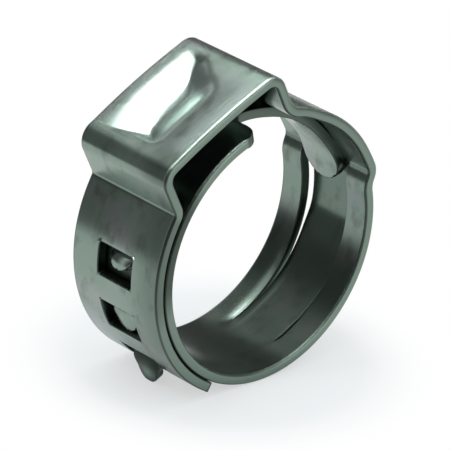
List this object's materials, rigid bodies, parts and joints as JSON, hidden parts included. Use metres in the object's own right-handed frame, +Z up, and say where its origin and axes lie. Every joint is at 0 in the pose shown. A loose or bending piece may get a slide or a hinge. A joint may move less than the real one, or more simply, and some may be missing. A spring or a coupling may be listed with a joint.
{
  "type": "ear hose clamp",
  "caption": "Stepless ear clamp: a narrow stainless strip rolled and hooked into a ring, with a pinch ear and an inner tongue bridging the ear gap, to squeeze a hose onto a fitting.",
  "frame": {"origin": "centre of the bore, at the middle of the band's width", "axes": "+Y along the bore axis, away from the viewer; +Z up, as the clamp stands on its ring and guide tab, with the ear at the upper left; +X to the right"},
  "size_m": [0.017, 0.007, 0.0184],
  "materials": {
    "stainless_steel": "cold-rolled satin"
  },
  "bodies": {
    "root": {"clamp_band": "stainless_steel"}
  },
  "joints": []
}
